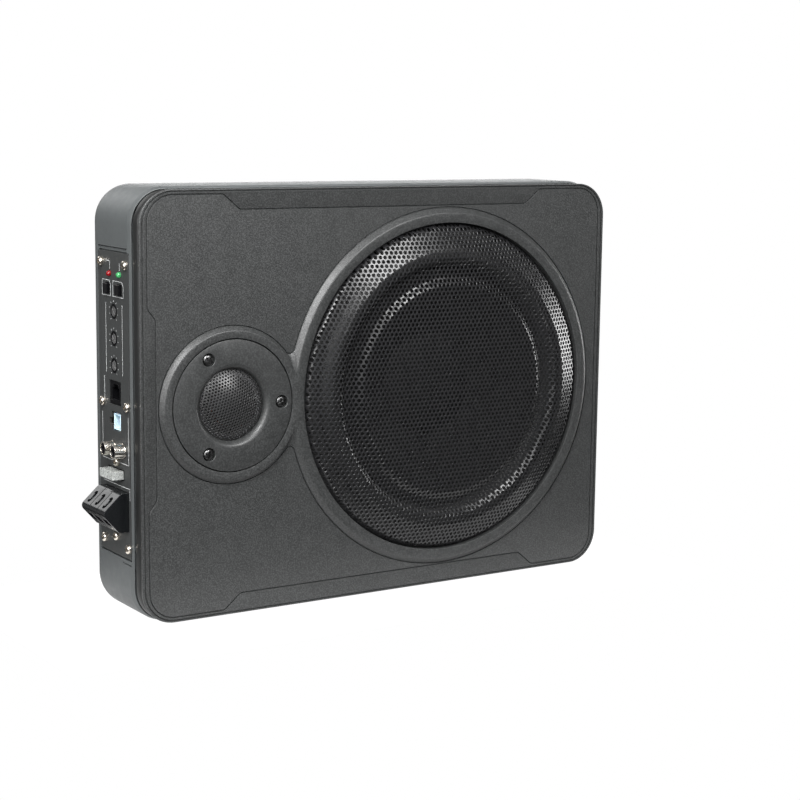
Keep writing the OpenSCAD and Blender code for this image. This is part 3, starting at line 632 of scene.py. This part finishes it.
# Bosses and holes as (x, z). Then the panel's screws as (y, height above the middle): six into the case,
# one into the terminal block and one into the jacks' block
TOWERS = [(x, MID_Z + z * (MID_Z - 26)) for x in (-144, 144) for z in (-1, 1)]
TOWERS += [(-42, MID_Z + z * (MID_Z - 22)) for z in (-1, 1)]
STANDOFFS = [(x, MID_Z + z * 83) for x in (-143, -36) for z in (-1, 1)]
BRACKET_HOLES = [(x * 122 + s * 7, MID_Z + z * 101) for x in (-1, 1) for z in (-1, 1) for s in (-1, 1)]
PANEL_CASE_SCREWS = [(15, 84), (-19, 83.7), (14.5, 0.5), (-20, 1), (13.5, -82.6), (-20.5, -83.6)]
PANEL_BLOCK_SCREWS = [(-3.5, -78.7), (-5, -33.4)]


def case_shell():
    """The tub, from its floor inside, over the flange and the thin lip at the parting line, to the back."""
    shell = Shell()
    quarter = [math.pi / 2 * k / 16 for k in range(17)]
    inner_r = REAR_EDGE_R - WALL
    inner = [(WALL + inner_r * (1 - math.cos(a)), REAR_Y - WALL - inner_r * (1 - math.sin(a)))
             for a in quarter[::4]]
    flange = [(WALL, CASE_RIM_Y + 4.5), (8, CASE_RIM_Y + 4.5), (8, SPLIT_Y + 0.02), (4.6, SPLIT_Y + 0.02),
              (4.6, CASE_RIM_Y + 2.4), (1.9, CASE_RIM_Y + 2.4), (1.5, CASE_RIM_Y + 0.2)]
    lip = [(1.4, CASE_RIM_Y + 0.05), (1.2, CASE_RIM_Y), (0.95, CASE_RIM_Y + 0.08),
           (0.85, CASE_RIM_Y + 0.35), (0.1, CASE_RIM_Y + 3.0), (0.0, CASE_RIM_Y + 3.6)]
    rounding = [(REAR_EDGE_R * (1 - math.cos(a)), REAR_Y - REAR_EDGE_R * (1 - math.sin(a))) for a in quarter]
    loops = shell.sweep(BOX, inner[::-1] + flange + lip + rounding, BOX_STEPS)
    shell.fill(loops[0])
    shell.fill(loops[-1])
    return shell.piece("case_shell", None)


def case_bosses():
    """The frame round the control panel, screw towers, board standoffs and bracket bosses."""
    panel_frame = tool_block((-HALF_W + 1, CASE_RIM_Y + 1.4, panel_low.z - 6),
                             (-HALF_W + 5, panel_high.y + 3, panel_high.z + 6))
    towers = [tool_rod("y", x, z, -20, REAR_Y - 1, 6) for x, z in TOWERS]
    standoffs = [tool_rod("y", x, z, 23.6, REAR_Y - 1, 4) for x, z in STANDOFFS]
    brackets = [tool_rod("y", x, z, REAR_Y - 11, REAR_Y - 1, 4.5) for x, z in BRACKET_HOLES]
    return [panel_frame] + towers + standoffs + brackets


def panel_pockets():
    """The panel's place, the stepped recess above it, the two dark lines below it, and the way through."""
    outside = -HALF_W - 1
    gap, shallow, deep, through = 0.35, 0.8, 2.4, 12
    low_y, high_y = panel_low.y, panel_high.y + gap
    low_z, high_z = panel_low.z, panel_high.z

    def pocket(y0, y1, z0, z1, end_x):
        return tool_block((outside, y0, z0), (end_x, y1, z1))
    return [
        pocket(low_y - gap, high_y, low_z - gap, high_z + gap, panel_high.x),
        pocket(low_y + 1.5, high_y, high_z, high_z + 3, -HALF_W + shallow),
        pocket(low_y + 1.5, high_y, high_z, high_z + 0.8, -HALF_W + deep),
        pocket(low_y + 1.5, high_y, high_z + 2.3, high_z + 3, -HALF_W + deep),
        pocket(low_y - gap, high_y, low_z - 1.1, low_z, -HALF_W + 2),
        pocket(low_y - gap, low_y + 12, low_z - 4, low_z - 3, -HALF_W + shallow),
        pocket(low_y + 2, panel_high.y - 3, low_z + 4, high_z - 4, -HALF_W + through)]


def rear_case():
    case = case_shell()
    left = -HALF_W
    boss_end, thread_end = left + 9, left + 10
    combine(case, "UNION", case_bosses())
    combine(case, "DIFFERENCE", panel_pockets())
    combine(case, "UNION", [tool_rod("x", y, MID_Z + z, panel_high.x, boss_end, 3.6)
                            for y, z in PANEL_CASE_SCREWS])
    holes = [tool_rod("y", x, z, -12, REAR_Y + 1, 3.6, 48) for x, z in TOWERS]
    holes += [tool_rod("y", x, z, REAR_Y - 9, REAR_Y + 1, 1.65, 24) for x, z in BRACKET_HOLES]
    holes += [tool_rod("x", y, MID_Z + z, left - 1, thread_end, 1.45) for y, z in PANEL_CASE_SCREWS]
    combine(case, "DIFFERENCE", holes)
    case.data.materials.clear()
    case.data.materials.append(MATERIALS["case_paint"])
    soften(case, 0.25)
    stands_for(case, "enclosure", "case_paint", "rear_case")


def soften(obj, width):
    """Small radii on the sharp edges."""
    weld = obj.modifiers.new("weld", "WELD")
    weld.merge_threshold = 1e-6
    bevel = obj.modifiers.new("bevel", "BEVEL")
    bevel.width = width * MM
    bevel.segments = 2
    bevel.limit_method = "ANGLE"
    bevel.angle_limit = math.radians(30)
    bevel.harden_normals = True
    bevel.use_clamp_overlap = True


# ---- Perforated grilles ----

def pressed(knots, soft):
    """A function that gives the height at a radius, along straight runs rounded over soft."""
    def straight(r):
        for (r0, y0), (r1, y1) in zip(knots, knots[1:]):
            if r >= r1:
                return y0 + (y1 - y0) * (r - r0) / (r1 - r0)
        return knots[-1][1]

    def height(r):
        return sum(straight(r + soft * k / 2) for k in range(-2, 3)) / 5
    return height


def staggered(pitch, turn, reach_r):
    """Places in staggered rows, turned by an angle, as far as reach_r from the middle."""
    rows = int(reach_r / pitch * 1.3) + 3
    places = []
    for row in range(-rows, rows + 1):
        for column in range(-rows, rows + 1):
            u = pitch * (column + (row % 2) / 2)
            v = pitch * row * math.sqrt(3) / 2
            x, z = u * math.cos(turn) - v * math.sin(turn), u * math.sin(turn) + v * math.cos(turn)
            if math.hypot(x, z) <= reach_r:
                places.append((x, z))
    return places


def perforated(name, cx, cz, height, rim_r, clip_r, pitch, hole_r, burr, sides, tilt, sheet, material):
    """A pressed sheet with holes in staggered rows, cut off at clip_r, and a plain rim.
    Each hole has a narrow chamfer as wide as the burr at the front."""
    shell = Shell()
    turn = math.radians(tilt)
    holes = staggered(pitch, turn, clip_r + hole_r * 0.1)

    def punched(radius):
        """Every hole's outline at this radius, kept inside the plain rim."""
        outlines = []
        for x, z in holes:
            loop = []
            for px, pz in circle(x, z, radius, sides, turn + math.pi / sides):
                pull = min(1, clip_r / math.hypot(px, pz))
                loop.append((cx + px * pull, cz + pz * pull))
            outlines.append(loop)
        return outlines

    def lay(radius, depth):
        def at(x, z):
            return height(math.hypot(x - cx, z - cz)) + depth
        return [shell.loop(points, at) for points in [circle(cx, cz, rim_r, 180)] + punched(radius)]
    front, neck, back = lay(hole_r + burr, 0), lay(hole_r, burr), lay(hole_r, sheet)
    bmesh.ops.delete(shell.bm, geom=neck[0], context="VERTS")
    neck[0] = front[0]
    shell.fill(*front)
    shell.fill(*back)
    for front_loop, neck_loop, back_loop in zip(front, neck, back):
        if front_loop is not neck_loop:
            shell.bridge(front_loop, neck_loop)
        shell.bridge(neck_loop, back_loop)
    return shell.piece(name, MATERIALS[material], 25)


def woofer_grille():
    """From the rim inward: skirt, slope, shoulder, sunk ring, and the flat middle."""
    knots = [(radius, grille_low.y + depth) for radius, depth in (
        (104.4, 10), (103.6, 9.6), (101.6, 6.3), (89.4, 1.1), (88, 0.45), (82.2, 0.1), (79.4, 2.3),
        (78.4, 2.7), (71.4, 2.7), (70.4, 2.4), (67.2, 0.3), (66, 0), (0, 0))]
    grille = perforated("woofer_mesh", WOOFER_X, MID_Z, pressed(knots, 0.35), rim_r=WOOFER_OPEN_R - 0.5,
                        clip_r=103.3, pitch=3.05, hole_r=1.17, burr=0.1, sides=7, tilt=0, sheet=0.45,
                        material="grille_steel")
    stands_for(grille, "enclosure", "grille_steel", "woofer_grille")


def tweeter_grille():
    crest = box_mm("tweeter_grille")[0].y
    dome_r = 40
    rim_r = 21.4

    def dome(r):
        return crest + dome_r - math.sqrt(dome_r ** 2 - r ** 2)
    grille = perforated("tweeter_mesh", TWEETER_X, MID_Z, dome, rim_r=rim_r, clip_r=rim_r - 0.6,
                        pitch=1.92, hole_r=0.66, burr=0.08, sides=8, tilt=16, sheet=0.4,
                        material="tweeter_steel")
    stands_for(grille, "enclosure", "grille_steel", "tweeter_grille")


# ---- Tweeter bezel ----

BEZEL_SCREWS = [(TWEETER_X + 32.5 * math.cos(a), MID_Z + 32.5 * math.sin(a))
                for a in (2 * math.pi * k / 3 for k in range(3))]
BEZEL_WELL = 2


def tweeter_bezel():
    """A ring with a rounded rim, a flared mouth round the grille, and a well for each screw."""
    shell = Shell()
    front, back = bezel_low.y, bezel_high.y
    rim = shell.turn(TWEETER_X, MID_Z, [(BEZEL_R - 0.4, front), (BEZEL_R - 0.25, front + 0.06),
                                        (BEZEL_R - 0.2, front + 0.2), (BEZEL_R - 0.2, back)], 120)
    flare = [(25.6, 0), (25.0, 0.06), (24.3, 0.25), (23.6, 0.6), (22.9, 1.15), (22.3, 1.9), (21.8, 2.8),
             (21.6, 3.4)]
    mouth = shell.turn(TWEETER_X, MID_Z, [(r, front + depth) for r, depth in flare] + [(21.6, back)], 120)
    wells = [shell.turn(x, z, [(4.25, front), (4.12, front + 0.12), (4.1, front + BEZEL_WELL),
                               (1.8, front + BEZEL_WELL), (1.8, back)], 40) for x, z in BEZEL_SCREWS]
    shell.fill(rim[0], mouth[0], *(well[0] for well in wells))
    shell.fill(rim[-1], mouth[-1], *(well[-1] for well in wells))
    bezel = shell.piece("bezel_ring", MATERIALS["bezel_plastic"], 35)
    stands_for(bezel, "enclosure", "bezel_plastic", "tweeter_bezel")


# ---- Power terminal block: three ways with a rounded nose, key-shaped screw holes and wire entries ----

def sunk(place, out, loop, depth):
    """A closed prism let depth into the face at place with the normal out. loop lies in that face."""
    across = Vector((0, 1, 0)) if abs(out.y) < 0.5 else Vector((1, 0, 0))
    along = across.cross(out)
    bm = bmesh.new()
    rings = [[bm.verts.new((Vector(place) + along * u + across * v + out * w) * MM) for u, v in loop]
             for w in (1, -depth)]
    for k in range(len(loop)):
        bm.faces.new((rings[0][k - 1], rings[0][k], rings[1][k], rings[1][k - 1]))
    for ring in rings:
        bm.faces.new(ring)
    bmesh.ops.recalc_face_normals(bm, faces=bm.faces)
    return loose_object("tool", bm)


def terminal_slab(corners, y0, y1, inset):
    """The block's side outline drawn out from y0 to y1, with small radii at both ends."""
    shell = Shell()
    loops = shell.sweep(corners, [(inset + 0.3, y0), (inset + 0.09, y0 + 0.09), (inset, y0 + 0.3),
                                  (inset, y1 - 0.3), (inset + 0.09, y1 - 0.09), (inset + 0.3, y1)], 9)
    shell.fill(loops[0])
    shell.fill(loops[-1])
    return shell.piece("terminal_ways", None)


def terminal_openings(way_y):
    """One way's screw hole, a large and a small bore joined by a slit, and its wire entry."""
    screw_face, wire_face = (Vector((math.sin(a), 0, math.cos(a)))
                             for a in (math.radians(-45), math.radians(-128.4)))
    screw_place = (-HALF_W - 10.75, way_y, MID_Z - 55.75)
    wire_place = (-HALF_W - 11.25, way_y, MID_Z - 67)
    key = (circle(2, 0, 2.3, 32), circle(-2.6, 0, 1.9, 32), outline(rectangle(-2.6, -1, 2, 1, 0.2)))
    screw_hole = [sunk(screw_place, screw_face, loop, 5.1) for loop in key]
    return screw_hole + [sunk(wire_place, wire_face, outline(rectangle(-2.8, -3.4, 2.8, 3.4, 0.8)), 8)]


def terminal_block():
    left = -HALF_W
    low, high = box_mm("power_terminal_block")
    way = (high.y - low.y) / 3
    corners = [(high.x, low.z, 1.3), (high.x, high.z, 1.3), (left - 4.5, high.z, 1.2),
               (left - 5.6, high.z - 0.55, 1.6), (left - 17.2, high.z - 11.15, 3.2),
               (left - 6.5, low.z + 0.4, 1.6), (left - 5.5, low.z, 1.2)]
    seam = 0.15
    block = terminal_slab(corners, low.y + 0.3, high.y - 0.3, 0.55)
    combine(block, "UNION", [
        terminal_slab(corners, low.y + way * i + seam * (i > 0), low.y + way * (i + 1) - seam * (i < 2), 0)
        for i in range(3)])
    middles = [low.y + way * (i + 0.5) for i in range(3)]
    combine(block, "DIFFERENCE", [tool for y in middles for tool in terminal_openings(y)])
    block.data.materials.clear()
    block.data.materials.append(MATERIALS["terminal_plastic"])
    soften(block, 0.15)
    block.modifiers.new("even", "WEIGHTED_NORMAL").keep_sharp = True
    stands_for(block, "enclosure", "terminal_plastic", "power_terminal_block")


# ---- Pan-head screws with a cross recess ----

def cross_outline(tip, waist, turn):
    """A cross with arms from the middle to tip, 2 * waist wide, turned by an angle."""
    points = [(tip, -waist), (tip, waist), (waist, waist), (waist, tip), (-waist, tip), (-waist, waist),
              (-tip, waist), (-tip, -waist), (-waist, -waist), (-waist, -tip), (waist, -tip), (waist, -waist)]
    return [(u * math.cos(turn) - v * math.sin(turn), u * math.sin(turn) + v * math.cos(turn))
            for u, v in points]


def pan_head(place, out, profile, tip, waist, turn):
    """A screw at place, its profile (radius, distance out) turned about out, with a cross in the head."""
    across = Vector((0, 0, 1))
    along = across.cross(out)
    steps = 28
    recess_depth = 1.3
    bm = bmesh.new()
    rings = [[bm.verts.new((Vector(place) + out * w + along * u + across * v) * MM)
              for u, v in circle(0, 0, r, steps)] for r, w in profile]
    for a, b in zip(rings, rings[1:]):
        for i in range(steps):
            bm.faces.new((a[i - 1], a[i], b[i], b[i - 1]))
    bm.faces.new(rings[0])
    bm.faces.new(rings[-1])
    bmesh.ops.recalc_face_normals(bm, faces=bm.faces)
    head = loose_object("screw", bm)
    top = Vector(place) + out * profile[0][1]
    combine(head, "DIFFERENCE", [sunk(top, out, cross_outline(tip, waist, turn), recess_depth)])
    return head


def screw_set(name, slot, node, heads):
    first = heads[0]
    combine(first, "UNION", heads[1:])
    first.name = name
    for face in first.data.polygons:
        face.use_smooth = True
    first.data.set_sharp_from_angle(angle=math.radians(35))
    first.data.materials.clear()
    first.data.materials.append(MATERIALS[slot])
    stands_for(first, "enclosure", slot, node)


def panel_screws():
    profile = [(1.3, 2.4), (1.9, 2.25), (2.4, 1.95), (2.7, 1.5), (2.8, 1.0), (2.8, 0), (1.4, 0),
               (1.4, -7.8), (0.5, -8.4)]
    heads = [pan_head((-HALF_W, y, MID_Z + z), Vector((-1, 0, 0)), profile, 1.35, 0.32, 0.5 + k * 0.7)
             for k, (y, z) in enumerate(PANEL_CASE_SCREWS + PANEL_BLOCK_SCREWS)]
    screw_set("panel_screw_heads", "bright_screw", "panel_screws", heads)


def tweeter_screws():
    low, high = box_mm("tweeter_screws")
    seat = bezel_low.y + BEZEL_WELL
    rise = seat - low.y
    profile = [(1.4, rise), (2.3, rise - 0.2), (2.9, rise - 0.55), (3.3, rise - 1.1), (3.45, rise - 1.7),
               (3.45, 0), (1.4, 0), (1.4, seat - high.y + 0.6), (0.5, seat - high.y)]
    heads = [pan_head((x, seat, z), Vector((0, -1, 0)), profile, 2.3, 0.55, 0.3 + k * 0.5)
             for k, (x, z) in enumerate(BEZEL_SCREWS)]
    screw_set("tweeter_screw_heads", "black_screw", "tweeter_screws", heads)


# ---- White lines printed on the control panel, in its (y, z) ----

INK_WIDTH, TICK_WIDTH, INK_HEIGHT = 0.34, 0.35, 0.05
CONTROL_Y, CONTROL_HEIGHTS = -1.5, (152.3, 168.4, 184.5)


def stroke(bm, start, end, width):
    """A line of ink from one point of the panel to another."""
    run = Vector(end) - Vector(start)
    side = Vector((-run.y, run.x)).normalized() * width / 2
    corners = [(start[0] - side.x, start[1] - side.y), (end[0] - side.x, end[1] - side.y),
               (end[0] + side.x, end[1] + side.y), (start[0] + side.x, start[1] + side.y)]
    rings = [[bm.verts.new(Vector((x, y, z)) * MM) for y, z in corners]
             for x in (panel_low.x + INK_HEIGHT, panel_low.x - INK_HEIGHT)]
    for k in range(4):
        bm.faces.new((rings[0][k], rings[0][(k + 1) % 4], rings[1][(k + 1) % 4], rings[1][k]))
    bm.faces.new(rings[0])
    bm.faces.new(rings[1])


def path(bm, *points):
    for start, end in zip(points, points[1:]):
        stroke(bm, start, end, INK_WIDTH)


def dial_ticks(bm, z):
    """Nine ticks round a rotary control, over its travel of 280 degrees."""
    inner_r, length = 5.6, 0.9
    for k in range(9):
        a = math.radians(-140 + 35 * k) + math.pi / 2
        away = Vector((-math.cos(a), math.sin(a)))
        start = Vector((CONTROL_Y, z)) + away * inner_r
        stroke(bm, start, start + away * length, TICK_WIDTH)


def printing():
    bm = bmesh.new()
    for y0, y1 in ((2.4, 14.2), (-15.4, -0.9)):
        path(bm, (y0 + 2.2, 202.5), (y1, 202.5), (y1, 193.4), (y0, 193.4), (y0, 200.3), (y0 + 2.2, 202.5))
    for y in (9.6, -13.5):
        path(bm, (y, 147.4), (y, 189.2))
    path(bm, (16, 123), (16, 95.4), (-20.5, 95.4), (-20.5, 124))
    path(bm, (15, 81.5), (-21.7, 81.5), (-21.7, 74.6))
    path(bm, (3.5, 209), (3.5, 214), (8.5, 214))
    path(bm, (-10.5, 209), (-10.5, 213.5))
    path(bm, (12.5, 127.5), (12.5, 145))
    for z in CONTROL_HEIGHTS:
        dial_ticks(bm, z)
    bmesh.ops.recalc_face_normals(bm, faces=bm.faces)
    ink_lines = loose_object("panel_printing", bm)
    ink_lines.data.materials.append(MATERIALS["white_ink"])
    stands_for(ink_lines, "enclosure", "panel_paint")


# ---- CAD nodes that keep their shape, some with softened edges ----

SOFT_EDGES = {"control_panel": 0.2, "cover_screws": 0.15, "auto_on_button": 0.4, "phase_button": 0.4,
              "pot_bodies": 0.3, "low_pass_rotor": 0.2, "bass_boost_rotor": 0.2, "level_rotor": 0.2,
              "remote_socket": 0.25, "high_level_socket": 0.3, "rca_shells": 0.15, "rca_block": 0.2,
              "fuse_holder": 0.2, "blade_fuse": 0.5, "terminal_screw_1": 0.1, "terminal_screw_2": 0.1,
              "terminal_screw_3": 0.1, "woofer_screws": 0.15, "heat_sink": 0.2, "woofer_basket": 0.3}


def finish_cad_nodes():
    for name, obj in frame["nodes"].items():
        obj.data.materials.clear()
        obj.data.materials.append(MATERIALS[SLOTS[name]])
        if name in SOFT_EDGES:
            soften(obj, SOFT_EDGES[name])


# ---- Floor, light and camera, in metres ----

FLOOR_LOW, FLOOR_HIGH = (-0.24, -0.1), (0.22, 0.1)
CAMERA_PLACE = (-0.6142, -0.9974, 0.3020)
CAMERA_YAW, CAMERA_PITCH, CAMERA_ROLL = 32.933, -8.867, 0.677
CAMERA_LENS = 83.07
LIGHT_AIM = (-0.03, -0.03, 0.15)
ROOM_LIGHT = 0.07


def stage():
    (x0, y0), (x1, y1) = FLOOR_LOW, FLOOR_HIGH
    floor_mesh = bpy.data.meshes.new("floor")
    floor_mesh.from_pydata([(x0, y0, 0), (x1, y0, 0), (x1, y1, 0), (x0, y1, 0)], [], [(0, 1, 2, 3)])
    floor = bpy.data.objects.new("floor", floor_mesh)
    bpy.context.scene.collection.objects.link(floor)
    paper = Surface("floor_paper", (0.14, 0.14, 0.14), 0.9)
    paper.shader.inputs["Emission Color"].default_value = (1, 1, 1, 1)
    paper.shader.inputs["Emission Strength"].default_value = 0.98
    paper.uneven(40, 0.03)
    floor_mesh.materials.append(paper.mat)


def camera():
    yaw, pitch, roll = (math.radians(a) for a in (CAMERA_YAW, CAMERA_PITCH, CAMERA_ROLL))
    forward = Vector((math.sin(yaw) * math.cos(pitch), math.cos(yaw) * math.cos(pitch), math.sin(pitch)))
    level_right = Vector((math.cos(yaw), -math.sin(yaw), 0))
    level_up = level_right.cross(forward)
    right = math.cos(roll) * level_right + math.sin(roll) * level_up
    up = math.cos(roll) * level_up - math.sin(roll) * level_right
    data = bpy.data.cameras.new("camera")
    data.lens = CAMERA_LENS
    data.sensor_width = 36
    data.clip_end = 50
    obj = bpy.data.objects.new("camera", data)
    bpy.context.scene.collection.objects.link(obj)
    obj.matrix_world = Matrix.Translation(CAMERA_PLACE) @ Matrix((right, up, -forward)).transposed().to_4x4()
    bpy.context.scene.camera = obj


def soft_light(name, place, size, power, aim=LIGHT_AIM, colour=(1, 1, 1)):
    light = bpy.data.lights.new(name, "AREA")
    light.shape = "RECTANGLE"
    light.size, light.size_y = size
    light.energy = power
    light.color = colour
    obj = bpy.data.objects.new(name, light)
    bpy.context.scene.collection.objects.link(obj)
    obj.location = place
    obj.rotation_euler = (Vector(aim) - Vector(place)).to_track_quat("-Z", "Y").to_euler()


def room():
    """A dim room that the camera sees as white."""
    world = bpy.data.worlds.new("studio")
    bpy.context.scene.world = world
    world.use_nodes = True
    nodes, links = world.node_tree.nodes, world.node_tree.links
    seen = nodes.new("ShaderNodeLightPath")
    strength = nodes.new("ShaderNodeMapRange")
    strength.inputs["To Min"].default_value = ROOM_LIGHT
    links.new(seen.outputs["Is Camera Ray"], strength.inputs["Value"])
    links.new(strength.outputs["Result"], nodes["Background"].inputs["Strength"])
    nodes["Background"].inputs["Color"].default_value = (1, 1, 1, 1)


def studio():
    room()
    soft_light("key", (0.17, -0.92, 0.76), (0.44, 0.32), 12.5)
    soft_light("near", (-0.5, -0.5, 0.7), (0.35, 0.4), 13, aim=(-0.14, -0.03, 0.22))
    soft_light("left", (-1.3, -1.0, 0.5), (0.42, 0.8), 12.5)
    soft_light("front", (-0.15, -1.45, 0.12), (0.4, 0.6), 0.7, colour=(0.85, 0.93, 1.0))
    soft_light("top", (0.1, 0.3, 2.0), (2.4, 2.0), 10)
    soft_light("side", (-2.0, -0.35, 0.75), (0.9, 1.0), 22)
    soft_light("behind", (1.3, 2.1, 0.7), (1.6, 1.0), 18)
    soft_light("back", (-0.5, 1.9, 1.2), (1.3, 0.9), 9)
    soft_light("right", (1.7, -0.15, 0.16), (0.4, 0.5), 12)
    soft_light("low", (-1.25, 1.65, 0.0), (0.9, 0.9), 0.5, aim=(-0.17, 0, 0.12))
    bpy.context.scene.view_settings.view_transform = "Standard"


front_cover()
rear_case()
woofer_grille()
tweeter_grille()
tweeter_bezel()
terminal_block()
panel_screws()
tweeter_screws()
printing()
finish_cad_nodes()
stage()
camera()
studio()
